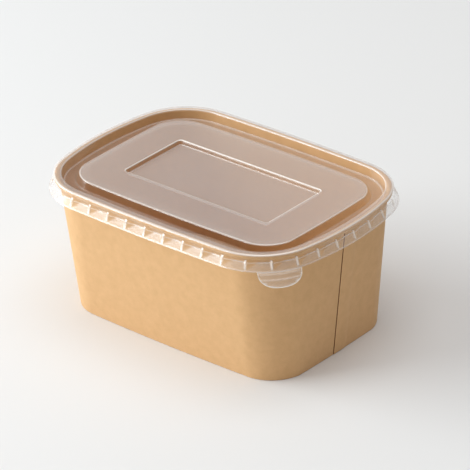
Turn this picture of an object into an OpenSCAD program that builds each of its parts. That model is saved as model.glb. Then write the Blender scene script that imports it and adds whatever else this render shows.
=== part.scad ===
// Rectangular paperboard meal box with a clear press-on lid.
// The box stands on its bottom fold, with its length along X and its lap seam on the +X side.

/* [Box] */
// Length over the rolled rim
box_l = 170.6; // [150:0.2:200]
// Width over the rolled rim
box_w = 118; // [100:0.2:140]
// Height to the top of the rolled rim
box_h = 77; // [50:0.1:110]
// Outer radius of the rim's corners
corner_r = 33; // [28:0.1:42]
// Bow of each long side at its middle
long_bow = 0.9; // [0.4:0.1:3]
// Bow of each short side at its middle; it fades away towards the bottom and the lid's panel
short_bow = 2.6; // [0.4:0.1:3]
// Distance that the wall leans in from its top to its bottom
wall_lean = 9; // [4:0.1:14]
// Thickness of the paperboard
board = 0.4; // [0.3:0.05:0.6]

/* [Rolled rim] */
// Diameter of the roll
roll_d = 2.8; // [2:0.1:4]
// Gap between the roll's free edge and the wall
roll_gap = 0.4; // [0.2:0.05:0.6]
// Flat steps that make up the roll
roll_steps = 12; // [8:1:16]

/* [Bottom] */
// Height of the hem folded up inside the bottom
hem_h = 5; // [3:0.1:9]
// Gap between the hem's edge and the bottom panel above it
hem_gap = 0.4; // [0.2:0.1:1]
// Clearance on each side of the panel's skirt in the fold
skirt_fit = 0.03; // [0.02:0.01:0.1]
// Width of the bevel along the fold's outer edge
fold_bevel = 0.3; // [0.1:0.05:0.5]

/* [Lap seam] */
// Place of the seam's cut edge along the short side
seam_y = -3; // [-8:0.5:2]
// Width of the overlap
lap_w = 9; // [5:0.5:12]
// Width of the step where the outer layer comes back to the wall
lap_step = 2; // [1:0.1:2]

/* [Lid] */
// Thickness of the lid
lid_t = 0.45; // [0.3:0.05:0.7]
// Clearance between the lid and the rolled rim
lid_gap = 0.25; // [0.15:0.05:0.4]
// Width of the lid's rim, from its outer edge to the channel
rim_w = 4.6; // [4.4:0.1:5.6]
// Radius of the rim's outer edge
rim_round = 1.2; // [0.8:0.1:1.5]
// Depth of the channel below the rim
channel_depth = 5.3; // [3:0.1:8]
// Distance that the channel's outer wall leans in
channel_lean = 1; // [0.5:0.1:2]
// Width of the channel's floor
channel_w = 7.4; // [4:0.1:10]
// Drop from the rim to the raised panel
panel_drop = 1.5; // [0:0.1:2.5]
// Distance that the raised panel's wall leans in
panel_lean = 3; // [1.5:0.1:5]
// Radius of the raised panel's edge
panel_round = 0.8; // [0.4:0.1:1.2]

/* [Recess in the lid] */
// Length of the recess
recess_l = 98.2; // [70:0.2:110]
// Width of the recess
recess_w = 44.6; // [30:0.2:60]
// Depth of the recess
recess_depth = 2.2; // [1:0.1:3]
// Distance that the recess's walls lean in
recess_lean = 1.3; // [0.5:0.1:1.6]
// Radius of the recess's corners
recess_r = 2.2; // [1.8:0.1:5]

/* [Skirt] */
// Height of the skirt below the top of the lid
skirt_h = 7.9; // [6.5:0.1:10]
// Depth at which the skirt starts to flare
flare_depth = 4; // [3:0.1:5]
// Flare of the skirt at its lower edge
flare = 2.2; // [1:0.1:3]
// Number of ribs round the skirt
rib_count = 40; // [24:4:48]
// Width of a rib's crest
rib_crest = 1; // [0.6:0.1:1.5]
// Width of a rib's foot
rib_foot = 6.4; // [3:0.1:7]
// Height of the lip along the skirt's lower edge
lip_h = 0.4; // [0.2:0.1:1]

/* [Pull tab] */
// Distance of the tab from the corner's middle, towards the seam
tab_shift = 7; // [0:0.2:10]
// Width of the tab
tab_w = 21.2; // [16:0.2:30]
// Length of the tab
tab_l = 8.5; // [5:0.1:12]
// Slope of the tab from the vertical
tab_slope = 38; // [15:1:60]

/* [Hidden] */

// The box's outline is a core of four bowed sides, grown by an offset that is also the corners' radius.
core_x = box_l / 2 - corner_r - short_bow;
core_y = box_w / 2 - corner_r - long_bow;
long_r = (core_x ^ 2 + long_bow ^ 2) / (2 * long_bow);
short_r = (core_y ^ 2 + short_bow ^ 2) / (2 * short_bow);
long_angle = asin(core_x / long_r);
short_angle = asin(core_y / short_r);
long_centre = core_y + long_bow - long_r;
short_centre = core_x + short_bow - short_r;

// The wall's outer face stands at an offset from the core that grows with its height.
roll_r = roll_d / 2;
roll_z = box_h - roll_r;
roll_centre = corner_r - roll_r;
wall_top = corner_r - roll_d + board;
wall_bottom = wall_top - wall_lean;
roll_end = -90 - asin((roll_r - board - roll_gap) / roll_r);
lap_top = roll_z - roll_r - board;

// Insets from the wall's outer face to the layers at the bottom, and the height of the panel.
skirt_out = board + skirt_fit;
skirt_in = skirt_out + board;
hem_out = skirt_in + skirt_fit;
hem_in = hem_out + board;
bottom_panel_z = hem_h + hem_gap;

// The lid stands clear of the roll by the same gap on top and outside.
lid_z = box_h + lid_gap + lid_t;
lid_edge = corner_r + lid_gap + lid_t;

// Lengths run anticlockwise along the lid's edge from the middle of the +X side.
short_len = (short_r + lid_edge) * short_angle * PI / 180;
corner_len = lid_edge * (90 - short_angle - long_angle) * PI / 180;
long_len = (long_r + lid_edge) * long_angle * PI / 180;
quarter_len = short_len + corner_len + long_len;
round_len = 4 * quarter_len;

function degrees_along(len, r) = len / r * 180 / PI;

function arc_station(centre, r, angle) =
    [centre.x + r * cos(angle), centre.y + r * sin(angle), angle];

function quarter_station(q) =
    q < short_len ? arc_station([short_centre, 0], short_r, degrees_along(q, short_r + lid_edge)) :
    q < short_len + corner_len ?
        [core_x, core_y, short_angle + degrees_along(q - short_len, lid_edge)] :
    arc_station([0, long_centre], long_r, 90 - degrees_along(quarter_len - q, long_r + lid_edge));

// A station is a place on the core with its outward direction: [x, y, angle].
// Odd quarters are mirror images of the first, so they are measured from their far end.
function station(len) =
    let (quarter = (floor(len / quarter_len) + 4) % 4,
         q = len - floor(len / quarter_len) * quarter_len,
         s = quarter_station(quarter % 2 == 0 ? q : quarter_len - q),
         sx = quarter == 1 || quarter == 2 ? -1 : 1,
         sy = quarter >= 2 ? -1 : 1)
    [sx * s.x, sy * s.y, atan2(sy * sin(s[2]), sx * cos(s[2]))];

function at_offset(s, offset, z) = [s.x + offset * cos(s[2]), s.y + offset * sin(s[2]), z];

// Takes a share of the short sides' bow away from a station: with a share of 1 they are straight.
function straighter(s, share) =
    let (x = abs(s.x),
         straight = x < core_x ? x * (1 + short_bow / core_x) : core_x + short_bow)
    [sign(s.x) * (x + share * (straight - x)), s.y, s[2]];

// Joins equal sections, one for each station, into a closed skin that runs round the outline.
// A section is a loop. With cap_after set, the loop is open there and flat caps close the skin.
module skin(sections, cap_after = -1, flips = function (i, j) false) {
    n = len(sections);
    m = len(sections[0]);
    strips = [
        for (i = [0:n - 1], j = [0:m - 1])
            if (j != cap_after)
                let (a = i * m + j,
                     b = (i + 1) % n * m + j,
                     c = (i + 1) % n * m + (j + 1) % m,
                     d = i * m + (j + 1) % m)
                each flips(i, j) ? [[a, d, b], [b, d, c]] : [[a, c, b], [a, d, c]]
    ];
    caps = cap_after < 0 ? [] : [
        [for (i = [n - 1:-1:0]) i * m + cap_after],
        [for (i = [0:n - 1]) i * m + cap_after + 1]
    ];
    polyhedron([for (s = sections) each s], concat(caps, strips));
}

// Stations of the board pieces: close together at the corners and at the seam's cut edge. The side
// with the seam has its stations there, and the one opposite has one at its middle.
corner_steps = 14;
short_shares = [0.42, 0.62, 0.8];
long_shares = [0.3, 0.6, 0.9];
cut_w = 0.05;
quarter_steps = concat(
    [for (share = short_shares) share * short_len],
    [for (k = [0:corner_steps]) short_len + corner_len * k / corner_steps],
    [for (share = long_shares) short_len + corner_len + share * long_len]
);
seam_steps = [seam_y - cut_w, seam_y, seam_y + lap_w, seam_y + lap_w + lap_step];
last_step = len(quarter_steps) - 1;

function quarter_lengths(quarter) = [
    for (k = [0:last_step])
        quarter * quarter_len
            + (quarter % 2 == 0 ? quarter_steps[k] : quarter_len - quarter_steps[last_step - k])
];

board_lengths = concat(
    seam_steps, quarter_lengths(0), quarter_lengths(1),
    [2 * quarter_len], quarter_lengths(2), quarter_lengths(3)
);

function wall_offset(z) = wall_bottom + wall_lean * z / roll_z;

// Thickness that the seam's outer layer adds: all of it between the cut edge and the step.
function lap_at(len) = len >= seam_y && len <= seam_y + lap_w ? board : 0;

// A place at an inset from the wall's outer face.
function on_board(s, z, inset) = at_offset(straighter(s, 1 - z / roll_z), wall_offset(z) - inset, z);

function on_roll(s, r, angle) = at_offset(s, roll_centre + r * cos(angle), roll_z + r * sin(angle));

function roll_angle(k) = 180 + (roll_end - 180) * k / roll_steps;

// The wall's section: up its outer face, round the roll and back, and down to the fold and its hem.
function wall_section(len) =
    let (s = station(len),
         lap = lap_at(len))
    concat(
        [
            on_board(s, 0, fold_bevel),
            on_board(s, board, -lap),
            on_board(s, lap_top, -lap),
            on_board(s, lap_top + board, 0)
        ],
        [for (k = [0:roll_steps]) on_roll(s, roll_r - board, roll_angle(k))],
        [for (k = [roll_steps:-1:0]) on_roll(s, roll_r, roll_angle(k))],
        [
            on_board(s, board, board),
            on_board(s, board, hem_out),
            on_board(s, hem_h, hem_out),
            on_board(s, hem_h, hem_in),
            on_board(s, board, hem_in),
            on_board(s, 0, hem_in - fold_bevel)
        ]
    );

module side_wall() {
    color("burlywood")
        skin([for (len = board_lengths) wall_section(len)]);
}

// The panel's section: its skirt stands in the fold, between the wall and the hem.
function panel_section(len) =
    let (s = station(len))
    [
        on_board(s, board + skirt_fit, skirt_out),
        on_board(s, bottom_panel_z + board, skirt_out),
        on_board(s, bottom_panel_z, skirt_in),
        on_board(s, board + skirt_fit, skirt_in)
    ];

module bottom_panel() {
    color("tan")
        skin([for (len = board_lengths) panel_section(len)], cap_after = 1);
}

// Stations of the lid: five to a rib's pitch, and nine to those that the tab hangs from.
rib_pitch = round_len / rib_count;
crest_share = rib_crest / 2 / rib_pitch;
foot_share = rib_foot / 2 / rib_pitch;
tab_centre = round_len - short_len - corner_len / 2 + tab_shift;
plain_steps = [-crest_share, crest_share, foot_share, 0.5, 1 - foot_share];
tab_steps = [
    -crest_share, crest_share, foot_share / 2, foot_share, (foot_share + 0.5) / 2,
    0.5, (1.5 - foot_share) / 2, 1 - foot_share, 1 - foot_share / 2
];

function near_tab(rib) = abs((rib + 0.5) * rib_pitch - tab_centre) < (tab_w + rib_pitch) / 2;

lid_lengths = [
    for (rib = [0:rib_count - 1], step = near_tab(rib) ? tab_steps : plain_steps)
        (rib + step) * rib_pitch
];

// 1 on a rib's crest, falling to 0 at its feet.
function crest_at(len) =
    let (from_rib = abs(len - round(len / rib_pitch) * rib_pitch))
    max(0, min(1, (rib_foot - 2 * from_rib) / (rib_foot - rib_crest)));

full_crest_share = 0.9;

function on_crest(i) = crest_at(lid_lengths[i % len(lid_lengths)]) > full_crest_share;

// Length of the lower edge's run past the skirt: a small lip, and the tab at one corner.
tab_power = 2.5;

function lip_length(len) =
    let (across = abs(len - tab_centre) / (tab_w / 2))
    across < 1 ? max(lip_h, tab_l * sqrt(1 - across ^ tab_power)) : lip_h;

// A place on the lid, at an inset from its edge and a depth below its top.
function on_lid(s, inset, depth) =
    let (share = max(0, min(1, (inset - rim_w) / (panel_in - rim_w))))
    at_offset(straighter(s, share), lid_edge - inset, lid_z - depth);

// A place on a rectangle with rounded corners, matched to the station by its side or corner.
function on_recess(s, grow, depth) =
    let (core = [recess_l / 2 - recess_r, recess_w / 2 - recess_r],
         x = core.x * max(-1, min(1, s.x / core_x)),
         y = core.y * max(-1, min(1, s.y / core_y)))
    at_offset([x, y, s[2]], recess_r + grow, lid_z - depth);

knee_flare = flare * (flare_depth - rim_round) / (skirt_h - rim_round);
channel_out = rim_w + channel_lean;
channel_in = channel_out + channel_w;
panel_in = channel_in + panel_lean;
edge_cut = rim_round * (1 - sqrt(0.5));
lip_out = sin(tab_slope);
lip_down = cos(tab_slope);
recess_floor = panel_drop + recess_depth;
outer_knee = 2;
last_outer = 13;
inner_knee = 23;

// The lid's section: up its outer face and in to the recess, then back along its inner face.
function lid_section(len) =
    let (s = station(len),
         lip = lip_length(len),
         knee = knee_flare * crest_at(len))
    [
        on_lid(s, -flare - lip * lip_out, skirt_h + lip * lip_down),
        on_lid(s, -flare, skirt_h),
        on_lid(s, -knee, flare_depth),
        on_lid(s, 0, rim_round),
        on_lid(s, edge_cut, edge_cut),
        on_lid(s, rim_round, 0),
        on_lid(s, rim_w - lid_t, 0),
        on_lid(s, rim_w, lid_t),
        on_lid(s, channel_out, channel_depth),
        on_lid(s, channel_in, channel_depth),
        on_lid(s, panel_in - panel_round, panel_drop + panel_round),
        on_lid(s, panel_in, panel_drop),
        on_recess(s, 0, panel_drop),
        on_recess(s, -recess_lean, recess_floor),
        on_recess(s, -recess_lean, recess_floor + lid_t),
        on_recess(s, lid_t, panel_drop + lid_t),
        on_lid(s, panel_in + lid_t, panel_drop + lid_t),
        on_lid(s, panel_in - panel_round + lid_t, panel_drop + panel_round + lid_t),
        on_lid(s, channel_in + lid_t, channel_depth + lid_t),
        on_lid(s, channel_out - lid_t, channel_depth + lid_t),
        on_lid(s, rim_w - lid_t, 2 * lid_t),
        on_lid(s, rim_round, lid_t),
        on_lid(s, lid_t, rim_round),
        on_lid(s, lid_t - knee, flare_depth),
        on_lid(s, lid_t - flare, skirt_h),
        on_lid(s, lid_t * lip_down - flare - lip * lip_out, skirt_h + lip * lip_down - lid_t * lip_out)
    ];

// The diagonals beside a rib start from the valley's knee, so that its sides are flat triangles.
function rib_diagonal(i, j) =
    j == outer_knee - 1 || j == inner_knee ? on_crest(i) :
    j == outer_knee || j == inner_knee - 1 ? on_crest(i + 1) :
    false;

module lid() {
    color([0.86, 0.86, 0.84, 0.6])
        skin([for (len = lid_lengths) lid_section(len)], last_outer, function (i, j) rib_diagonal(i, j));
}

side_wall();
bottom_panel();
lid();
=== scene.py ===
"""Kraft paperboard meal box with a translucent press-on lid, on a pale studio floor."""
import math

import bmesh
import bpy
import numpy as np
from mathutils import Matrix, Vector


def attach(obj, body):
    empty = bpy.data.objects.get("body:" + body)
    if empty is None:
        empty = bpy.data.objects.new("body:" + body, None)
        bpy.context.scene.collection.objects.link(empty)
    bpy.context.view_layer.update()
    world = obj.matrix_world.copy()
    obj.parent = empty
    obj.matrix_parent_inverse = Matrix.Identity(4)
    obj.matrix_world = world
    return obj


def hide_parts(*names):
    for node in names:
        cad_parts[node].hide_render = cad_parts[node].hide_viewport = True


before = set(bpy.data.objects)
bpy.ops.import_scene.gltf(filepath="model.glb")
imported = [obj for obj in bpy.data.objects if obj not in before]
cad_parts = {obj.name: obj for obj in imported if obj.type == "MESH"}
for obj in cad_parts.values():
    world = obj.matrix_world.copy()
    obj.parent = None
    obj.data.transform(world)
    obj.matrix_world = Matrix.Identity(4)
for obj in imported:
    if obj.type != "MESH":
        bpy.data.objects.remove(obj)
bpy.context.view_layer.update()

scene = bpy.context.scene
scene.view_settings.view_transform = "Standard"

# Camera: a long lens that looks down on the corner with the pull tab. It stands well back, as in a
# product photograph, so that the box's upright edges stay nearly parallel.
CAMERA_TURN = math.radians(41.7)
CAMERA_TILT = math.radians(28.32)
CAMERA_ROLL = math.radians(-2.34)
CAMERA_DISTANCE = 1.836
CAMERA_SHIFT = (-0.00515, -0.00541)
CAMERA_TARGET = Vector((0, 0, 0.038))
CAMERA_LENS = 271.07

back = Vector((
    math.sin(CAMERA_TURN) * math.cos(CAMERA_TILT),
    -math.cos(CAMERA_TURN) * math.cos(CAMERA_TILT),
    math.sin(CAMERA_TILT),
))
level = Vector((math.cos(CAMERA_TURN), math.sin(CAMERA_TURN), 0))
upright = back.cross(level)
right = level * math.cos(CAMERA_ROLL) + upright * math.sin(CAMERA_ROLL)
up = upright * math.cos(CAMERA_ROLL) - level * math.sin(CAMERA_ROLL)
camera_data = bpy.data.cameras.new("camera")
camera_data.lens = CAMERA_LENS
camera_data.sensor_width = 36
camera_data.clip_end = 20
camera = bpy.data.objects.new("camera", camera_data)
scene.collection.objects.link(camera)
camera.matrix_world = Matrix.Translation(
    CAMERA_TARGET + back * CAMERA_DISTANCE - right * CAMERA_SHIFT[0] - up * CAMERA_SHIFT[1]
) @ Matrix((right, up, back)).transposed().to_4x4()
scene.camera = camera

# Floor: a wide sheet of matt white board that runs on behind the box.
FLOOR_HALF = 3.0
FLOOR_Z = -0.0001
FLOOR_WHITE = (0.80, 0.795, 0.795, 1)

floor_mesh = bpy.data.meshes.new("floor")
floor_mesh.from_pydata(
    [(x * FLOOR_HALF, y * FLOOR_HALF, FLOOR_Z) for x, y in ((-1, -1), (1, -1), (1, 1), (-1, 1))],
    [], [(0, 1, 2, 3)],
)
floor_paint = bpy.data.materials.new("floor_white")
floor_paint.use_nodes = True
floor_paint.node_tree.nodes["Principled BSDF"].inputs["Base Color"].default_value = FLOOR_WHITE
floor_paint.node_tree.nodes["Principled BSDF"].inputs["Roughness"].default_value = 0.9
floor_paint.node_tree.nodes["Principled BSDF"].inputs["Specular IOR Level"].default_value = 0.1
floor_mesh.materials.append(floor_paint)
floor = bpy.data.objects.new("floor", floor_mesh)
scene.collection.objects.link(floor)

# Studio light: one large soft box low on the left, a dim one overhead, and a room that is
# brighter on the left than on the right. The lamps face the camera's target.
ROOM_LEFT = 0.62
ROOM_RIGHT = 0.30


def soft_box(name, direction, distance, size, power, colour):
    """An area lamp that faces the box."""
    data = bpy.data.lights.new(name, "AREA")
    data.shape = "RECTANGLE"
    data.size, data.size_y = size
    data.energy = power
    data.color = colour
    lamp = bpy.data.objects.new(name, data)
    scene.collection.objects.link(lamp)
    away = Vector(direction).normalized()
    lamp.location = CAMERA_TARGET + away * distance
    lamp.rotation_euler = away.to_track_quat("Z", "Y").to_euler()


soft_box("key", (-0.78, -0.56, 0.38), 1.5, (1.4, 1.1), 26, (0.92, 0.98, 1.0))
soft_box("overhead", (0.1, 0.08, 1), 1.6, (1.3, 1.3), 9, (1, 1, 1))

room = bpy.data.worlds.new("room")
room.use_nodes = True
scene.world = room
nodes, links = room.node_tree.nodes, room.node_tree.links
direction = nodes.new("ShaderNodeTexCoord")
from_left = nodes.new("ShaderNodeVectorMath")
from_left.operation = "DOT_PRODUCT"
from_left.inputs[1].default_value = (-0.73, -0.68, 0)
links.new(direction.outputs["Generated"], from_left.inputs[0])
strength = nodes.new("ShaderNodeMapRange")
strength.inputs["From Min"].default_value = -1
strength.inputs["To Min"].default_value = ROOM_RIGHT
strength.inputs["To Max"].default_value = ROOM_LEFT
links.new(from_left.outputs["Value"], strength.inputs["Value"])
links.new(strength.outputs["Result"], nodes["Background"].inputs["Strength"])
nodes["Background"].inputs["Color"].default_value = (1, 0.99, 0.97, 1)

# Side wall: one kraft paperboard blank, wrapped round and heat-sealed along a lap on the +X side.
# Its top edge is rolled outwards into the rim, and its bottom edge is folded in and up as a hem.
BOX_LENGTH = 0.1706
BOX_WIDTH = 0.118
BOX_HEIGHT = 0.077
RIM_CORNER = 0.033
LONG_BOW = 0.0009
SHORT_BOW = 0.0026
WALL_LEAN = 0.009
BOARD = 0.0004
ROLL = 0.0014
ROLL_STEPS = 22
ROLL_TURN = math.radians(275)
HEM = 0.005
HEM_INSET = 0.00126
SKIRT_FIT = 0.00003
RIBS = 40
STEPS_PER_RIB = 16
FIRST_TAB_RIB = 35
LAST_TAB_RIB = 38
FOLD_ROUND = ((0.0003, 0), (0.00012, 0.00004), (0.00002, 0.00016))
WALL_HEIGHTS = (0.0004, 0.004, 0.012, 0.024, 0.038, 0.052, 0.064, 0.0734)
HEM_ROUND = ((0.00012, 0.00006), (0.0003, 0))
KRAFT = (0.71, 0.44, 0.22, 1)
KRAFT_DARK = (0.65, 0.395, 0.19, 1)
KRAFT_FIBRE = (0.42, 0.25, 0.12, 1)

core_x = BOX_LENGTH / 2 - RIM_CORNER - SHORT_BOW
core_y = BOX_WIDTH / 2 - RIM_CORNER - LONG_BOW
long_r = (core_x ** 2 + LONG_BOW ** 2) / (2 * LONG_BOW)
short_r = (core_y ** 2 + SHORT_BOW ** 2) / (2 * SHORT_BOW)
long_angle = math.asin(core_x / long_r)
short_angle = math.asin(core_y / short_r)
short_len = (short_r + RIM_CORNER) * short_angle
corner_len = RIM_CORNER * (math.pi / 2 - short_angle - long_angle)
quarter_len = short_len + corner_len + (long_r + RIM_CORNER) * long_angle
rib_pitch = 4 * quarter_len / RIBS
roll_z = BOX_HEIGHT - ROLL


def station(run):
    """Core point and outward angle at a length along the rim, anticlockwise from the middle of +X."""
    quarter, along = divmod(run, quarter_len)
    quarter = int(quarter) % 4
    if quarter % 2:
        along = quarter_len - along
    if along < short_len:
        angle = along / (short_r + RIM_CORNER)
        x, y = core_x + SHORT_BOW - short_r + short_r * math.cos(angle), short_r * math.sin(angle)
    elif along < short_len + corner_len:
        angle = short_angle + (along - short_len) / RIM_CORNER
        x, y = core_x, core_y
    else:
        angle = math.pi / 2 - (quarter_len - along) / (long_r + RIM_CORNER)
        x, y = long_r * math.cos(angle), core_y + LONG_BOW - long_r + long_r * math.sin(angle)
    side_x = -1 if quarter in (1, 2) else 1
    side_y = -1 if quarter in (2, 3) else 1
    return side_x * x, side_y * y, math.atan2(side_y * math.sin(angle), side_x * math.cos(angle))


def straightening(x):
    """How far a core point moves along X when the short sides' bow is taken away."""
    full = abs(x) * SHORT_BOW / core_x if abs(x) < core_x else core_x + SHORT_BOW - abs(x)
    return math.copysign(full, x)


def line_object(name, points, closed, **attributes):
    """A chain of edges with float attributes, for a sweep to read."""
    mesh = bpy.data.meshes.new(name)
    count = len(points)
    mesh.from_pydata(points, [(i, (i + 1) % count) for i in range(count if closed else count - 1)], [])
    for key, values in attributes.items():
        mesh.attributes.new(key, "FLOAT", "POINT").data.foreach_set("value", values)
    line = bpy.data.objects.new(name, mesh)
    scene.collection.objects.link(line)
    return line


def maths(tree, operation, *values):
    """A math node on sockets and numbers."""
    node = tree.nodes.new("ShaderNodeMath")
    node.operation = operation
    for socket, value in zip(node.inputs, values):
        if isinstance(value, (int, float)):
            socket.default_value = value
        else:
            tree.links.new(value, socket)
    return node.outputs[0]


def read(tree, name):
    """A float attribute of the sweep."""
    node = tree.nodes.new("GeometryNodeInputNamedAttribute")
    node.data_type = "FLOAT"
    node.inputs["Name"].default_value = name
    return node.outputs["Attribute"]


def sweep_tree(name, shape=None):
    """Sweeps a profile round an outline, and straightens the short sides by each profile row's share.

    shape adds nodes between the sweep and the material.
    """
    tree = bpy.data.node_groups.new(name, "GeometryNodeTree")
    tree.interface.new_socket("Geometry", in_out="OUTPUT", socket_type="NodeSocketGeometry")
    for socket, kind in (("Outline", "Object"), ("Profile", "Object"), ("Material", "Material")):
        tree.interface.new_socket(socket, in_out="INPUT", socket_type="NodeSocket" + kind)
    inputs = tree.nodes.new("NodeGroupInput")
    curves = []
    for socket in ("Outline", "Profile"):
        info = tree.nodes.new("GeometryNodeObjectInfo")
        tree.links.new(inputs.outputs[socket], info.inputs["Object"])
        curve = tree.nodes.new("GeometryNodeMeshToCurve")
        tree.links.new(info.outputs["Geometry"], curve.inputs["Mesh"])
        curves.append(curve)
    upright_normals = tree.nodes.new("GeometryNodeSetCurveNormal")
    upright_normals.mode = "Z_UP"
    tree.links.new(curves[0].outputs["Curve"], upright_normals.inputs["Curve"])
    sweep = tree.nodes.new("GeometryNodeCurveToMesh")
    tree.links.new(upright_normals.outputs["Curve"], sweep.inputs["Curve"])
    tree.links.new(curves[1].outputs["Curve"], sweep.inputs["Profile Curve"])
    shift = tree.nodes.new("ShaderNodeCombineXYZ")
    along_x = maths(tree, "MULTIPLY", read(tree, "straighten"), read(tree, "straight"))
    tree.links.new(along_x, shift.inputs["X"])
    straighter = tree.nodes.new("GeometryNodeSetPosition")
    tree.links.new(sweep.outputs["Mesh"], straighter.inputs["Geometry"])
    tree.links.new(shift.outputs["Vector"], straighter.inputs["Offset"])
    shaped = straighter.outputs["Geometry"]
    if shape:
        shaped = shape(tree, inputs, shaped)
    realize = tree.nodes.new("GeometryNodeRealizeInstances")
    tree.links.new(shaped, realize.inputs["Geometry"])
    material = tree.nodes.new("GeometryNodeSetMaterial")
    tree.links.new(realize.outputs["Geometry"], material.inputs["Geometry"])
    tree.links.new(inputs.outputs["Material"], material.inputs["Material"])
    result = tree.nodes.new("NodeGroupOutput")
    tree.links.new(material.outputs["Geometry"], result.inputs["Geometry"])
    return tree


def swept(name, tree, **values):
    """Runs a sweep tree and returns its result as a plain mesh object."""
    carrier = bpy.data.objects.new(name + "_sweep", bpy.data.meshes.new(name + "_sweep"))
    scene.collection.objects.link(carrier)
    modifier = carrier.modifiers.new("sweep", "NODES")
    modifier.node_group = tree
    sockets = {item.name: item.identifier for item in tree.interface.items_tree if item.in_out == "INPUT"}
    for key, value in values.items():
        modifier[sockets[key.replace("_", " ")]] = value
    graph = bpy.context.evaluated_depsgraph_get()
    mesh = bpy.data.meshes.new_from_object(carrier.evaluated_get(graph), depsgraph=graph)
    mesh.name = name
    bpy.data.objects.remove(carrier)
    bpy.data.objects.remove(values["Profile"])
    piece = bpy.data.objects.new(name, mesh)
    scene.collection.objects.link(piece)
    return piece


def smooth_by_angle(mesh, degrees=35):
    """Smooth faces, with the edges that turn by more than that angle kept sharp."""
    mesh.shade_smooth()
    mesh.set_sharp_from_angle(angle=math.radians(degrees))


def outward_faces(mesh):
    """Turns a closed shell's faces outwards."""
    shell = bmesh.new()
    shell.from_mesh(mesh)
    bmesh.ops.remove_doubles(shell, verts=shell.verts, dist=1e-7)
    bmesh.ops.recalc_face_normals(shell, faces=shell.faces)
    shell.to_mesh(mesh)
    shell.free()


def kraft_material(name, light, dark, roughness):
    """Uncoated kraft board: soft clouds of tone, short darker fibres and a faint tooth."""
    material = bpy.data.materials.new(name)
    material.use_nodes = True
    nodes, links = material.node_tree.nodes, material.node_tree.links
    shader = nodes["Principled BSDF"]
    place = nodes.new("ShaderNodeTexCoord")
    clouds = nodes.new("ShaderNodeTexNoise")
    clouds.inputs["Scale"].default_value = 210
    clouds.inputs["Detail"].default_value = 6
    clouds.inputs["Roughness"].default_value = 0.62
    links.new(place.outputs["Object"], clouds.inputs["Vector"])
    cloud_tone = nodes.new("ShaderNodeMapRange")
    cloud_tone.inputs["From Min"].default_value = 0.3
    cloud_tone.inputs["From Max"].default_value = 0.7
    links.new(clouds.outputs["Fac"], cloud_tone.inputs["Value"])
    board_tone = nodes.new("ShaderNodeMix")
    board_tone.data_type = "RGBA"
    board_tone.inputs["A"].default_value = dark
    board_tone.inputs["B"].default_value = light
    links.new(cloud_tone.outputs["Result"], board_tone.inputs["Factor"])
    stretch = nodes.new("ShaderNodeMapping")
    stretch.inputs["Scale"].default_value = (1, 1, 3.5)
    links.new(place.outputs["Object"], stretch.inputs["Vector"])
    fibres = nodes.new("ShaderNodeTexNoise")
    fibres.inputs["Scale"].default_value = 1100
    fibres.inputs["Detail"].default_value = 3
    fibres.inputs["Distortion"].default_value = 1.2
    links.new(stretch.outputs["Vector"], fibres.inputs["Vector"])
    fibre_mask = nodes.new("ShaderNodeMapRange")
    fibre_mask.inputs["From Min"].default_value = 0.62
    fibre_mask.inputs["From Max"].default_value = 0.76
    fibre_mask.inputs["To Max"].default_value = 0.45
    links.new(fibres.outputs["Fac"], fibre_mask.inputs["Value"])
    colour = nodes.new("ShaderNodeMix")
    colour.data_type = "RGBA"
    colour.inputs["B"].default_value = KRAFT_FIBRE
    links.new(board_tone.outputs["Result"], colour.inputs["A"])
    links.new(fibre_mask.outputs["Result"], colour.inputs["Factor"])
    links.new(colour.outputs["Result"], shader.inputs["Base Color"])
    tooth = nodes.new("ShaderNodeBump")
    tooth.inputs["Strength"].default_value = 0.12
    tooth.inputs["Distance"].default_value = 0.0001
    links.new(fibres.outputs["Fac"], tooth.inputs["Height"])
    links.new(tooth.outputs["Normal"], shader.inputs["Normal"])
    shader.inputs["Roughness"].default_value = roughness
    shader.inputs["Specular IOR Level"].default_value = 0.08
    shader.inputs["Sheen Weight"].default_value = 0.12
    return material


def wall_offset(z):
    """Outer face of the wall at a height, as an offset outwards from the rim's outline."""
    return BOARD - 2 * ROLL - WALL_LEAN * (1 - z / roll_z)


kraft = kraft_material("kraft_board", KRAFT, KRAFT_DARK, 0.82)

# The outline counts its length in ribs, and has twice the steps beside the tab.
outline_runs = [step / STEPS_PER_RIB for step in range(RIBS * STEPS_PER_RIB)]
outline_runs += [run + 0.5 / STEPS_PER_RIB for run in outline_runs if FIRST_TAB_RIB <= run < LAST_TAB_RIB]
outline_runs.sort()
outline_stations = [station(run * rib_pitch) for run in outline_runs]
outline = line_object(
    "outline",
    [(x + RIM_CORNER * math.cos(a), y + RIM_CORNER * math.sin(a), 0) for x, y, a in outline_stations], True,
    run=outline_runs,
    straighten=[straightening(x) for x, y, a in outline_stations],
    outward_x=[math.cos(a) for x, y, a in outline_stations],
    outward_y=[math.sin(a) for x, y, a in outline_stations],
)


def board_profile(name, points, closed):
    """A profile of (offset, height) points. The wall is bowed at the roll and straight at its foot."""
    return line_object(
        name, [(x, -z, 0) for x, z in points], closed,
        straight=[max(0, 1 - z / roll_z) for x, z in points],
    )


def roll_point(radius, step):
    """A point on the rolled rim, from the wall's tangent over the top and round to its free edge."""
    angle = math.pi - ROLL_TURN * step / ROLL_STEPS
    return -ROLL + radius * math.cos(angle), roll_z + radius * math.sin(angle)


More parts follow.
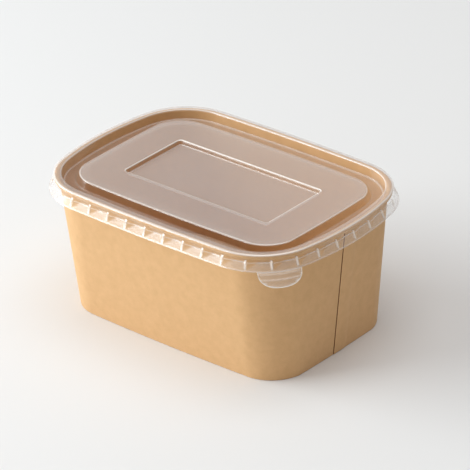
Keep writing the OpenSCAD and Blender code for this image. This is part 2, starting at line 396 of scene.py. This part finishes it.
wall_profile = [(wall_offset(0) - inset, z) for inset, z in FOLD_ROUND]
wall_profile += [(wall_offset(z), z) for z in WALL_HEIGHTS]
wall_profile += [roll_point(ROLL - BOARD, step) for step in range(ROLL_STEPS + 1)]
wall_profile += [roll_point(ROLL, step) for step in range(ROLL_STEPS, -1, -1)]
wall_profile += [(wall_offset(z) - BOARD, z) for z in reversed(WALL_HEIGHTS)]
wall_profile += [
    (wall_offset(BOARD) - HEM_INSET + BOARD, BOARD),
    (wall_offset(HEM) - HEM_INSET + BOARD, HEM),
    (wall_offset(HEM) - HEM_INSET, HEM),
    (wall_offset(BOARD) - HEM_INSET, BOARD),
]
wall_profile += [(wall_offset(0) - HEM_INSET + inset, z) for inset, z in HEM_ROUND]
board_sweep = sweep_tree("board_sweep")
side_wall = swept(
    "side_wall_board", board_sweep,
    Outline=outline,
    Profile=board_profile("wall_profile", wall_profile, True),
    Material=kraft,
)
outward_faces(side_wall.data)
smooth_by_angle(side_wall.data)
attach(side_wall, "box")
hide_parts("side_wall")

# Lap: the outer end of the blank is heat-sealed over the inner one. Its cut edge shows as a fine dark
# line that leans a little, and the board steps down behind it.
LAP_WIDTH = 0.009
LAP_STEP = 0.002
LAP_TOP = 0.0738
SEAM_TOP = -0.0022
SEAM_BOTTOM = -0.0035
SEAM_LINE = 0.00022
LAP_ROWS = 24
CUT_BOARD = (0.16, 0.07, 0.025, 1)


def wall_place(run, z, layer):
    """A point on the wall at a length along the rim, a height and a distance outside its face."""
    x, y, angle = station(run % (4 * quarter_len))
    x += straightening(x) * (1 - z / roll_z)
    reach = RIM_CORNER + wall_offset(z) + layer
    return x + reach * math.cos(angle), y + reach * math.sin(angle), z


def strip_mesh(name, columns):
    """A closed strip up the wall. columns(z) gives each point's run and layer, as a loop."""
    heights = [BOARD + (LAP_TOP - BOARD) * row / LAP_ROWS for row in range(LAP_ROWS + 1)]
    loops = [[wall_place(run, z, layer) for run, layer in columns(z)] for z in heights]
    width = len(loops[0])
    faces = []
    for row in range(LAP_ROWS):
        low, high = row * width, (row + 1) * width
        faces += [(low + i, low + (i + 1) % width, high + (i + 1) % width, high + i) for i in range(width)]
    faces += [tuple(range(width))[::-1], tuple(LAP_ROWS * width + i for i in range(width))]
    mesh = bpy.data.meshes.new(name)
    mesh.from_pydata([point for loop in loops for point in loop], [], faces)
    return mesh


def seam_run(z):
    """The cut edge's length along the rim at a height."""
    return SEAM_BOTTOM + (SEAM_TOP - SEAM_BOTTOM) * z / LAP_TOP


def lap_columns(z):
    """The lap from its cut edge to the step behind it, and back under the wall's face."""
    start = seam_run(z)
    top = [(start + LAP_WIDTH * share, BOARD) for share in (0, 0.01, 0.25, 0.5, 0.75, 1)]
    end = [(start + LAP_WIDTH + LAP_STEP, 0)]
    under = [(start + LAP_WIDTH * share, -BOARD / 2) for share in (1, 0.75, 0.5, 0.25, 0)]
    return top + end + under


def cut_columns(z):
    """The cut edge: a narrow strip that slopes from the wall up to the lap's face."""
    start = seam_run(z)
    foot = start - SEAM_LINE
    return [(foot, -BOARD / 2), (foot, BOARD / 4), (start, BOARD), (start, -BOARD / 2)]


cut_board = kraft_material("cut_board", CUT_BOARD, CUT_BOARD, 0.9)
lap = bpy.data.objects.new("lap_board", strip_mesh("lap_board", lap_columns))
lap.data.materials.append(kraft)
cut_edge = bpy.data.objects.new("lap_cut_edge", strip_mesh("lap_cut_edge", cut_columns))
cut_edge.data.materials.append(cut_board)
for piece in (lap, cut_edge):
    outward_faces(piece.data)
    smooth_by_angle(piece.data)
    scene.collection.objects.link(piece)
    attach(piece, "box")

# Bottom panel: one pressed kraft panel. Its turned-down edge is held between the wall and the hem.
PANEL_TOP = 0.0058
PANEL_FILL = 0.004
PANEL_ROUND = ((0.0006, 0), (0.0002, 0.00006), (0, 0.0003))

panel_out = wall_offset(PANEL_TOP) - BOARD - SKIRT_FIT
panel_foot = wall_offset(BOARD) - BOARD - SKIRT_FIT
panel_profile = [
    (panel_out - PANEL_FILL, PANEL_TOP),
    *((panel_out - inset, PANEL_TOP - drop) for inset, drop in PANEL_ROUND),
    (panel_foot, BOARD + SKIRT_FIT),
    (panel_foot - BOARD, BOARD + SKIRT_FIT),
    (panel_out - BOARD, PANEL_TOP - BOARD),
    (panel_out - PANEL_FILL, PANEL_TOP - BOARD),
]
bottom_panel = swept(
    "bottom_panel_board", board_sweep,
    Outline=outline,
    Profile=board_profile("panel_profile", panel_profile, False),
    Material=kraft,
)
panel = bmesh.new()
panel.from_mesh(bottom_panel.data)
bmesh.ops.holes_fill(panel, edges=[edge for edge in panel.edges if edge.is_boundary], sides=0)
panel.to_mesh(bottom_panel.data)
panel.free()
outward_faces(bottom_panel.data)
smooth_by_angle(bottom_panel.data)
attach(bottom_panel, "box")
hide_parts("bottom_panel")

# Lid: one thin moulding of translucent polypropylene. Its rim sits on the rolled edge, the skirt
# closes round it and its ribs grip, and a channel inside the rim stiffens the raised panel. A pull
# tab with two grip ridges hangs from the skirt at one corner.
LID_TOP = 0.0777
LID_WALL = 0.00045
LID_OUT = 0.0007
RIB_FLANK = 0.5
RIB_BACK = 0.09
RIB_HEIGHT = 0.00092
# How softly, and how far, a rib's flank is cleared of haze: painted shade on the facet turned away from the
# key.
FLANK_BLEND = 0.12
FLANK_SHADE_CLEARING = 0.8
# The crest's painted highlight: its width in ribs, its strength, and how quickly it fades in with the rib's
# height.
CREST_LINE = 0.07
CREST_PAINTED_HIGHLIGHT = 1.3
CREST_FADE = 3
TAB_SHIFT = 0.00685
TAB_WIDTH = 0.0208
TAB_LENGTH = 0.0085
TAB_ARCH = 2.5
TAB_SLOPE = math.radians(38)
# The tab edge's painted highlight: its width and its strength.
TAB_RIM = 0.0008
TAB_PAINTED_HIGHLIGHT = 1.6
GRIP_FADE = 1500
LIP = 0.0004
RECESS = (0.0968, 0.0441)
RECESS_CORNER = 0.0022
MERGE = 2e-6
PLASTIC = (0.80, 0.72, 0.68, 1)
# Painted highlight: a whitish colour laid along the lid's bends, crests and tab edge.
PAINTED_HIGHLIGHT_TINT = (1.0, 0.94, 0.87, 1)
PLASTIC_CLOUD = 0.3
PLASTIC_GLANCE = 0.13
# Painted highlight: how much more opaque the plastic is made along those bends.
PAINTED_HIGHLIGHT_ALPHA = 0.45

# Each row is an inset from the lid's edge and a depth, in millimetres, then how much the ribs move it, a
# length out along the tab and the height of a grip on it, in millimetres, how hazy it is, and the strength of
# its painted highlight line.
LID_PROFILE = [
    (22.0, 1.50, 0, 0, 0, 0.22, 0.0),
    (16.3, 1.50, 0, 0, 0, 0.22, 0.1),
    (16.0, 1.54, 0, 0, 0, 0.24, 0.6),
    (15.7, 1.65, 0, 0, 0, 0.20, 0.8),
    (15.4, 1.88, 0, 0, 0, 0.03, 0.4),
    (15.15, 2.25, 0, 0, 0, 0, 0.0),
    (14.1, 3.75, 0, 0, 0, 0, 0.0),
    (13.4, 4.7, 0, 0, 0, 0, 0.0),
    (13.1, 5.02, 0, 0, 0, 0.02, 0.1),
    (12.7, 5.23, 0, 0, 0, 0.03, 0.15),
    (12.1, 5.3, 0, 0, 0, 0.03, 0.0),
    (6.7, 5.3, 0, 0, 0, 0.03, 0.0),
    (6.2, 5.25, 0, 0, 0, 0.03, 0.4),
    (5.8, 5.05, 0, 0, 0, 0.03, 0.4),
    (5.5, 4.7, 0, 0, 0, 0, 0.0),
    (5.1, 3.0, 0, 0, 0, 0, 0.0),
    (4.75, 1.1, 0, 0, 0, 0, 0.0),
    (4.62, 0.55, 0, 0, 0, 0.06, 0.3),
    (4.45, 0.2, 0, 0, 0, 0.18, 0.8),
    (4.15, 0.04, 0, 0, 0, 0.24, 0.5),
    (3.8, 0.0, 0, 0, 0, 0.16, 0.05),
    (2.5, 0.0, 0, 0, 0, 0.13, 0.0),
    (1.4, 0.0, 0, 0, 0, 0.15, 0.05),
    (1.0, 0.03, 0, 0, 0, 0.24, 0.6),
    (0.6, 0.16, 0, 0, 0, 0.24, 0.8),
    (0.3, 0.4, 0, 0, 0, 0.20, 0.6),
    (0.08, 0.75, 0, 0, 0, 0.08, 0.1),
    (0.0, 1.2, 0.0, 0, 0, 0.02, 0.0),
    (0.0, 2.6, 0.0, 0, 0, 0.02, 0.0),
    (0.0, 3.0, 0.35, 0, 0, 0.02, 0.0),
    (0.0, 3.5, 0.75, 0, 0, 0.03, 0.0),
    (0.0, 3.8, 0.95, 0, 0, 0.10, 0.1),
    (0.0, 4.0, 1.0, 0, 0, 0.20, 0.6),
    (-0.12, 4.22, 0.94, 0, 0, 0.15, 0.2),
    (-0.43, 4.75, 0.82, 0, 0, 0.16, 0.0),
    (-0.78, 5.38, 0.66, 0, 0, 0.16, 0.0),
    (-1.13, 6.01, 0.5, 0, 0, 0.15, 0.0),
    (-1.49, 6.64, 0.34, 0, 0, 0.14, 0.0),
    (-1.84, 7.27, 0.18, 0, 0, 0.13, 0.0),
    (-2.2, 7.9, 0.0, 0, 0, 0.13, 0.4),
    (-2.2, 7.9, 0.0, 0.4, 0, 0.16, 0.6),
    (-2.2, 7.9, 0.0, 1.1, 0, 0.14, 0.0),
    (-2.2, 7.9, 0.0, 1.5, 0.22, 0.14, 0.2),
    (-2.2, 7.9, 0.0, 1.9, 0.22, 0.14, 0.2),
    (-2.2, 7.9, 0.0, 2.3, 0, 0.14, 0.0),
    (-2.2, 7.9, 0.0, 3.9, 0, 0.14, 0.0),
    (-2.2, 7.9, 0.0, 4.3, 0.22, 0.14, 0.3),
    (-2.2, 7.9, 0.0, 4.7, 0.22, 0.14, 0.3),
    (-2.2, 7.9, 0.0, 5.1, 0, 0.14, 0.0),
    (-2.2, 7.9, 0.0, 6.8, 0, 0.14, 0.0),
    (-2.2, 7.9, 0.0, 7.8, 0, 0.14, 0.0),
    (-2.2, 7.9, 0.0, 8.2, 0, 0.12, 0.0),
    (-2.2, 7.9, 0.0, 8.5, 0, 0.2, 0.0),
]

# Insets, in millimetres, between which the short sides' bow fades away.
RIM_WIDTH = 4.6
PANEL_INSET = 16.0

# Each ring round the recess is an outset from its edge and a depth, in millimetres, its haze and the strength
# of its painted highlight line.
RECESS_RINGS = [
    (1.2, 1.50, 0.22, 0.0),
    (0.5, 1.50, 0.22, 0.0),
    (0.3, 1.52, 0.22, 1.4),
    (-0.05, 1.64, 0.18, 1.4),
    (-0.25, 1.95, 0.08, 0.1),
    (-0.7, 2.6, 0.04, 0.0),
    (-1.0, 3.2, 0.04, 0.0),
    (-1.15, 3.52, 0.12, 0.4),
    (-1.35, 3.68, 0.20, 0.4),
    (-1.6, 3.7, 0.23, 0.0),
    (-2.0, 3.7, 0.23, 0.0),
]


def ribs_and_tab(tree, inputs, mesh):
    """Pushes the skirt out at each rib, and runs its lower edge out and down into the lip and the tab."""
    for socket in (
        "Rib Flank", "Rib Back", "Rib Height",
        "Tab Centre", "Tab Width", "Tab Length", "Tab Arch", "Tab Slope", "Grip Fade", "Lip",
    ):
        tree.interface.new_socket(socket, in_out="INPUT", socket_type="NodeSocketFloat")
    size = inputs.outputs
    run = read(tree, "run")
    past_crest = maths(tree, "FRACT", run)
    flank = maths(tree, "DIVIDE", past_crest, size["Rib Flank"])
    rise_to_crest = maths(tree, "DIVIDE", maths(tree, "SUBTRACT", 1, past_crest), size["Rib Back"])
    share = maths(tree, "SUBTRACT", read(tree, "rib"), maths(tree, "MINIMUM", flank, rise_to_crest))
    push = maths(tree, "MULTIPLY", maths(tree, "MAXIMUM", share, 0), size["Rib Height"])
    across = maths(tree, "ABSOLUTE", maths(tree, "SUBTRACT", run, size["Tab Centre"]))
    across = maths(tree, "DIVIDE", maths(tree, "MULTIPLY", across, 2), size["Tab Width"])
    arch = maths(tree, "SUBTRACT", 1, maths(tree, "POWER", across, size["Tab Arch"]))
    arch = maths(tree, "SQRT", maths(tree, "MAXIMUM", arch, 0))
    reach = maths(tree, "MAXIMUM", maths(tree, "MULTIPLY", arch, size["Tab Length"]), size["Lip"])
    length = maths(tree, "MINIMUM", reach, read(tree, "lip"))
    room = maths(tree, "MULTIPLY", maths(tree, "SUBTRACT", reach, length), size["Grip Fade"])
    grip = maths(tree, "MULTIPLY", read(tree, "grip"), maths(tree, "MINIMUM", room, 1))
    sine, cosine = maths(tree, "SINE", size["Tab Slope"]), maths(tree, "COSINE", size["Tab Slope"])
    out = maths(tree, "ADD", push, maths(tree, "MULTIPLY", length, sine))
    out = maths(tree, "ADD", out, maths(tree, "MULTIPLY", grip, cosine))
    drop = maths(tree, "MULTIPLY", length, cosine)
    rise = maths(tree, "SUBTRACT", maths(tree, "MULTIPLY", grip, sine), drop)
    offset = tree.nodes.new("ShaderNodeCombineXYZ")
    tree.links.new(maths(tree, "MULTIPLY", out, read(tree, "outward_x")), offset.inputs["X"])
    tree.links.new(maths(tree, "MULTIPLY", out, read(tree, "outward_y")), offset.inputs["Y"])
    tree.links.new(rise, offset.inputs["Z"])
    shaped = tree.nodes.new("GeometryNodeSetPosition")
    tree.links.new(mesh, shaped.inputs["Geometry"])
    tree.links.new(offset.outputs["Vector"], shaped.inputs["Offset"])
    return shaped.outputs["Geometry"]


def polypropylene():
    """Natural polypropylene: clear where it is drawn thin, hazy on the flats, with a painted highlight along
    its bends.
    """
    material = bpy.data.materials.new("frosted_lid")
    material.use_nodes = True
    tree = material.node_tree
    nodes, links = tree.nodes, tree.links
    shader = nodes["Principled BSDF"]
    haze, line = nodes.new("ShaderNodeAttribute"), nodes.new("ShaderNodeAttribute")
    haze.attribute_name, line.attribute_name = "haze", "line"
    place = nodes.new("ShaderNodeTexCoord")
    cloud = nodes.new("ShaderNodeTexNoise")
    cloud.inputs["Scale"].default_value = 28
    cloud.inputs["Detail"].default_value = 4
    links.new(place.outputs["Object"], cloud.inputs["Vector"])
    grain = nodes.new("ShaderNodeTexNoise")
    grain.inputs["Scale"].default_value = 1400
    links.new(place.outputs["Object"], grain.inputs["Vector"])
    cloudy = maths(tree, "MULTIPLY", maths(tree, "SUBTRACT", cloud.outputs["Fac"], 0.5), PLASTIC_CLOUD)
    cloudy = maths(tree, "ADD", cloudy, 1)
    cloudy = maths(tree, "MULTIPLY", haze.outputs["Fac"], cloudy)
    facing = nodes.new("ShaderNodeLayerWeight")
    facing.inputs["Blend"].default_value = 0.25
    glancing = maths(tree, "MULTIPLY", facing.outputs["Fresnel"], PLASTIC_GLANCE)
    # Painted highlight: the plastic turns more opaque and whitish along its bends.
    painted_highlight = maths(tree, "MULTIPLY", line.outputs["Fac"], PAINTED_HIGHLIGHT_ALPHA)
    alpha = maths(tree, "ADD", maths(tree, "ADD", cloudy, glancing), painted_highlight)
    links.new(maths(tree, "MINIMUM", alpha, 1), shader.inputs["Alpha"])
    tint = nodes.new("ShaderNodeMix")
    tint.data_type = "RGBA"
    tint.inputs["A"].default_value = PLASTIC
    tint.inputs["B"].default_value = PAINTED_HIGHLIGHT_TINT
    links.new(maths(tree, "MINIMUM", line.outputs["Fac"], 1), tint.inputs["Factor"])
    links.new(tint.outputs["Result"], shader.inputs["Base Color"])
    texture = nodes.new("ShaderNodeBump")
    texture.inputs["Strength"].default_value = 0.08
    texture.inputs["Distance"].default_value = 0.00005
    links.new(grain.outputs["Fac"], texture.inputs["Height"])
    links.new(texture.outputs["Normal"], shader.inputs["Normal"])
    shader.inputs["Roughness"].default_value = 0.16
    shader.inputs["IOR"].default_value = 2.4
    return material


clear_plastic = polypropylene()
tab_centre = (4 * quarter_len - short_len - corner_len / 2 + TAB_SHIFT) / rib_pitch
lid_rows = [np.array(column, float) for column in zip(*LID_PROFILE)]
panel_share = np.clip((lid_rows[0] - RIM_WIDTH) / (PANEL_INSET - RIM_WIDTH), 0, 1)
lid_profile = line_object(
    "lid_profile",
    [(LID_OUT - inset / 1000, depth / 1000 - LID_TOP, 0) for inset, depth in zip(*lid_rows[:2])], False,
    straight=panel_share, rib=lid_rows[2], lip=lid_rows[3] / 1000, grip=lid_rows[4] / 1000,
    haze=lid_rows[5], line=lid_rows[6], row=np.arange(len(LID_PROFILE), dtype=float),
)
lid = swept(
    "lid_shell", sweep_tree("lid_sweep", ribs_and_tab),
    Outline=outline, Profile=lid_profile, Material=clear_plastic,
    Rib_Flank=RIB_FLANK, Rib_Back=RIB_BACK, Rib_Height=RIB_HEIGHT,
    Tab_Centre=tab_centre, Tab_Width=TAB_WIDTH / rib_pitch, Tab_Length=TAB_LENGTH, Tab_Arch=TAB_ARCH,
    Tab_Slope=TAB_SLOPE, Grip_Fade=GRIP_FADE, Lip=LIP,
)


def values_of(mesh, name):
    """A float attribute of the mesh, as an array."""
    values = np.zeros(len(mesh.vertices), np.float32)
    mesh.attributes[name].data.foreach_get("value", values)
    return values


def recess_place(run, grow, depth):
    """A point on the recess's rounded outline, matched to the rim by its side or corner."""
    x, y, angle = station(run)
    x = (RECESS[0] / 2 - RECESS_CORNER) * max(-1, min(1, x / core_x))
    y = (RECESS[1] / 2 - RECESS_CORNER) * max(-1, min(1, y / core_y))
    reach = RECESS_CORNER + grow
    return x + reach * math.cos(angle), y + reach * math.sin(angle), LID_TOP - depth


def write_values(mesh, name, values):
    """Writes an array back to a float attribute of the mesh."""
    mesh.attributes[name].data.foreach_set("value", values.astype(np.float32))


# The crests and the tab's edge get a painted highlight, and a rib's flank is made clearer than the ramps
# beside it, which paints shade on the facet turned away from the key.
runs, ribs, lips, lines, hazes = (values_of(lid.data, name) for name in ("run", "rib", "lip", "line", "haze"))
past_crest = runs % 1
to_crest = np.minimum(past_crest / RIB_FLANK, (1 - past_crest) / RIB_BACK)
flank = np.clip((ribs - to_crest) / FLANK_BLEND, 0, 1) * (past_crest < RIB_FLANK)
# Painted highlight along each crest and round the tab's edge.
crest_highlight = np.clip(1 - np.abs(runs - np.round(runs)) / CREST_LINE, 0, 1) * np.clip(ribs * CREST_FADE, 0, 1)
across = np.abs(runs - tab_centre) / (TAB_WIDTH / rib_pitch / 2)
tab_reach = TAB_LENGTH * np.sqrt(np.clip(1 - across ** TAB_ARCH, 0, 1))
past_lip = lips > LIP * 1.5
tab_rim_highlight = np.clip(1 - (tab_reach - lips) / TAB_RIM, 0, 1) * past_lip * (across < 1)
own_highlights = lines * np.where(past_lip, tab_reach > lips, 1)
painted_highlights = np.maximum.reduce([own_highlights, CREST_PAINTED_HIGHLIGHT * crest_highlight, TAB_PAINTED_HIGHLIGHT * tab_rim_highlight])
write_values(lid.data, "line", painted_highlights)
# The flank's haze is cut, which paints shade on the facet turned away from the key.
write_values(lid.data, "haze", hazes * (1 - FLANK_SHADE_CLEARING * flank))

# The recess is built inwards from the skin's inner edge, ring by ring, and closed at its middle.
rows = values_of(lid.data, "row")
inner_ring = sorted(np.flatnonzero(rows < 0.5).tolist(), key=lambda i: runs[i])
shell = bmesh.new()
shell.from_mesh(lid.data)
shell.verts.ensure_lookup_table()
haze_layer = shell.verts.layers.float["haze"]
line_layer = shell.verts.layers.float["line"]
ring = [shell.verts[i] for i in inner_ring]
for grow, depth, haze, line in RECESS_RINGS:
    inner = []
    for i in inner_ring:
        vertex = shell.verts.new(recess_place(runs[i] * rib_pitch, grow / 1000, depth / 1000))
        vertex[haze_layer], vertex[line_layer] = haze, line
        inner.append(vertex)
    for k in range(len(ring)):
        after = (k + 1) % len(ring)
        shell.faces.new((ring[k], ring[after], inner[after], inner[k]))
    ring = inner
middle = bmesh.ops.poke(shell, faces=[shell.faces.new(ring)])["verts"][0]
middle[haze_layer], middle[line_layer] = haze, line
bmesh.ops.remove_doubles(shell, verts=shell.verts, dist=MERGE)
bmesh.ops.recalc_face_normals(shell, faces=shell.faces)
# The widest face lies on top, so it tells which way is out.
if max(shell.faces, key=lambda face: face.calc_area()).normal.z < 0:
    bmesh.ops.reverse_faces(shell, faces=shell.faces)
shell.to_mesh(lid.data)
shell.free()
lid.data.materials.clear()
lid.data.materials.append(clear_plastic)

# The shell gets its wall's thickness inwards.
thick = lid.modifiers.new("wall", "SOLIDIFY")
thick.thickness = LID_WALL
thick.offset = -1
thick.use_even_offset = True
graph = bpy.context.evaluated_depsgraph_get()
solid = bpy.data.meshes.new_from_object(lid.evaluated_get(graph), depsgraph=graph)
lid.modifiers.clear()
lid.data = solid
smooth_by_angle(lid.data, 40)
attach(lid, "lid")
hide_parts("lid")
bpy.data.objects.remove(outline)

# A view through the lid crosses many thin clear layers.
scene.cycles.transparent_max_bounces = 24
